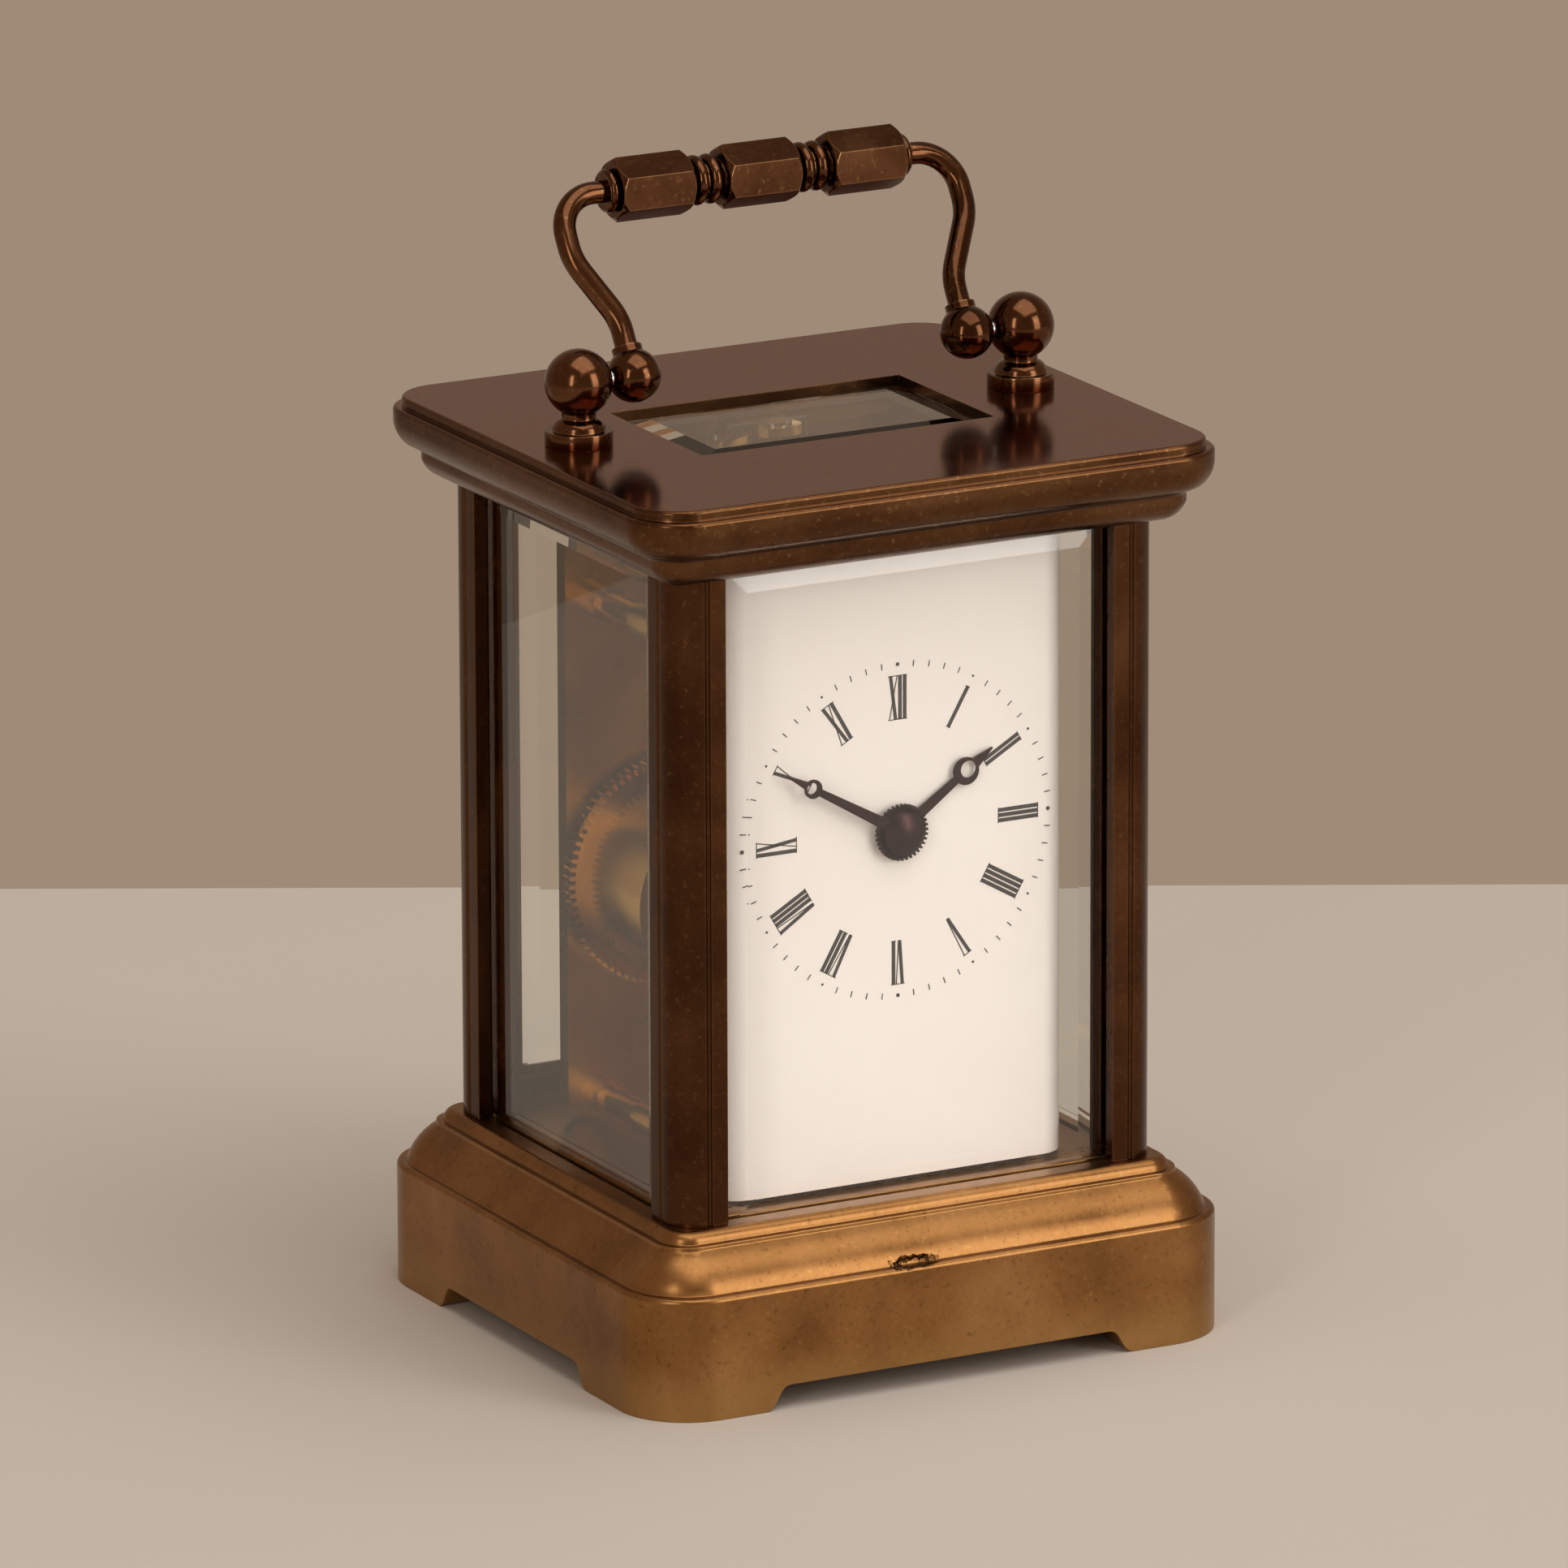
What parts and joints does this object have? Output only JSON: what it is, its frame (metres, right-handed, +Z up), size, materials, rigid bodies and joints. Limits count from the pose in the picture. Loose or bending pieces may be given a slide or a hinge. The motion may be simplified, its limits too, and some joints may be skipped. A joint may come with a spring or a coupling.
{
  "type": "miniature carriage clock",
  "caption": "Small four-glass travelling clock with a moulded brass case, swinging top handle, rear door, enamel dial and a wound lever movement with platform escapement.",
  "frame": {"origin": "on the surface the clock stands on, under the middle of the case", "axes": "+X to the right of someone facing the dial, +Y from the dial to the rear door, +Z up"},
  "size_m": [0.0562, 0.0524, 0.1001],
  "materials": {
    "bronzed_brass": "aged and bronzed, polished on the mouldings",
    "bright_brass": "satin gilt",
    "steel": "polished",
    "blued_steel": "blued",
    "enamel": "glossy white vitreous enamel on copper",
    "glass": "clear, bevelled and polished"
  },
  "bodies": {
    "case": {"base_plinth": "bronzed_brass", "bottom_plate": "bronzed_brass", "bottom_plate_screws": "steel", "pillar_front_left": "bronzed_brass", "pillar_front_right": "bronzed_brass", "pillar_rear_left": "bronzed_brass", "pillar_rear_right": "bronzed_brass", "case_screws": "steel", "cornice": "bronzed_brass", "front_glass": "glass", "left_glass": "glass", "right_glass": "glass", "top_glass": "glass", "top_glass_clips": "bright_brass", "handle_posts": "bronzed_brass", "handle_pivot_pins": "steel", "dial": "enamel", "front_plate": "bright_brass", "back_plate": "bright_brass", "plate_pillars": "bright_brass", "plate_screws": "steel", "click_screw": "steel", "click_spring": "blued_steel", "platform_plate": "bright_brass", "platform_screws": "steel", "escape_lower_cock": "bright_brass", "escapement_bridge": "bright_brass", "escapement_screws": "steel", "balance_cock": "bright_brass"},
    "handle": {"handle_grip": "bronzed_brass", "handle_arm_left": "bronzed_brass", "handle_arm_right": "bronzed_brass"},
    "rear_door": {"door_frame": "bronzed_brass", "door_glass": "glass", "door_knob": "bronzed_brass", "door_hinge_pins": "steel"},
    "centre": {"centre_arbor": "steel", "centre_wheel": "bright_brass", "cannon_pinion": "bright_brass", "minute_hand": "blued_steel"},
    "minute_wheel": {"minute_wheel": "bright_brass"},
    "hour": {"hour_wheel": "bright_brass", "hour_hand": "blued_steel"},
    "barrel": {"barrel_drum": "bright_brass", "barrel_cap": "bright_brass", "mainspring": "blued_steel"},
    "third": {"third_arbor": "steel", "third_wheel": "bright_brass"},
    "contrate": {"contrate_arbor": "steel", "contrate_wheel": "bright_brass"},
    "escape": {"escape_arbor": "steel", "escape_wheel": "steel"},
    "winding": {"barrel_arbor": "steel", "ratchet_wheel": "steel"},
    "click": {"click": "steel"},
    "lever": {"pallet_lever": "steel"},
    "balance": {"balance_wheel": "bright_brass", "balance_staff": "steel", "hairspring": "blued_steel"},
    "index": {"regulator_index": "steel"}
  },
  "joints": [
    {"name": "handle_swing", "type": "hinge", "parent": "case", "child": "handle", "pos_m": [0, 0, 0.0834], "axis": [1, 0, 0], "range_deg": [-67.4, 129.4]},
    {"name": "rear_door_hinge", "type": "hinge", "parent": "case", "child": "rear_door", "pos_m": [-0.01725, 0.0204, 0.0152], "axis": [0, 0, 1], "range_deg": [0, 115]},
    {"name": "centre_arbor_spin", "type": "hinge", "parent": "case", "child": "centre", "pos_m": [0, 0, 0.0459], "axis": [0, 1, 0], "continuous": true},
    {"name": "minute_wheel_spin", "type": "hinge", "parent": "case", "child": "minute_wheel", "pos_m": [0.00433, -0.013, 0.04287], "axis": [0, 1, 0], "continuous": true},
    {"name": "hour_wheel_spin", "type": "hinge", "parent": "case", "child": "hour", "pos_m": [0, -0.0144, 0.0459], "axis": [0, 1, 0], "continuous": true},
    {"name": "barrel_spin", "type": "hinge", "parent": "case", "child": "barrel", "pos_m": [-0.00632, 0, 0.03681], "axis": [0, 1, 0], "continuous": true},
    {"name": "third_arbor_spin", "type": "hinge", "parent": "case", "child": "third", "pos_m": [0.00254, 0, 0.05453], "axis": [0, 1, 0], "continuous": true},
    {"name": "contrate_arbor_spin", "type": "hinge", "parent": "case", "child": "contrate", "pos_m": [0, 0, 0.06175], "axis": [0, 1, 0], "continuous": true},
    {"name": "escape_arbor_spin", "type": "hinge", "parent": "case", "child": "escape", "pos_m": [0, -0.0031, 0.0694], "axis": [0, 0, 1], "continuous": true},
    {"name": "winding_arbor_turn", "type": "hinge", "parent": "case", "child": "winding", "pos_m": [-0.00632, 0.0134, 0.03681], "axis": [0, 1, 0], "continuous": true},
    {"name": "click_swing", "type": "hinge", "parent": "case", "child": "click", "pos_m": [-0.00187, 0.01365, 0.04054], "axis": [0, 1, 0], "range_deg": [-3.5, 12], "stiffness_Nm_per_rad": 0.0002, "deforming": ["click_spring"]},
    {"name": "lever_swing", "type": "hinge", "parent": "case", "child": "lever", "pos_m": [0, 0.0001, 0.0694], "axis": [0, 0, 1], "range_deg": [-4, 4]},
    {"name": "balance_swing", "type": "hinge", "parent": "case", "child": "balance", "pos_m": [0, 0.0045, 0.0694], "axis": [0, 0, 1], "range_deg": [-270, 270], "stiffness_Nm_per_rad": 0.0000006, "deforming": ["hairspring"]},
    {"name": "regulator_turn", "type": "hinge", "parent": "case", "child": "index", "pos_m": [0, 0.0045, 0.0749], "axis": [0, 0, 1], "range_deg": [-20, 20]}
  ],
  "couplings": [
    {"joint": "minute_wheel_spin", "follows": "centre_arbor_spin", "ratio": -0.33333},
    {"joint": "hour_wheel_spin", "follows": "centre_arbor_spin", "ratio": 0.083333},
    {"joint": "barrel_spin", "follows": "centre_arbor_spin", "ratio": -0.125},
    {"joint": "third_arbor_spin", "follows": "centre_arbor_spin", "ratio": -8},
    {"joint": "contrate_arbor_spin", "follows": "centre_arbor_spin", "ratio": 60},
    {"joint": "escape_arbor_spin", "follows": "centre_arbor_spin", "ratio": -600}
  ]
}
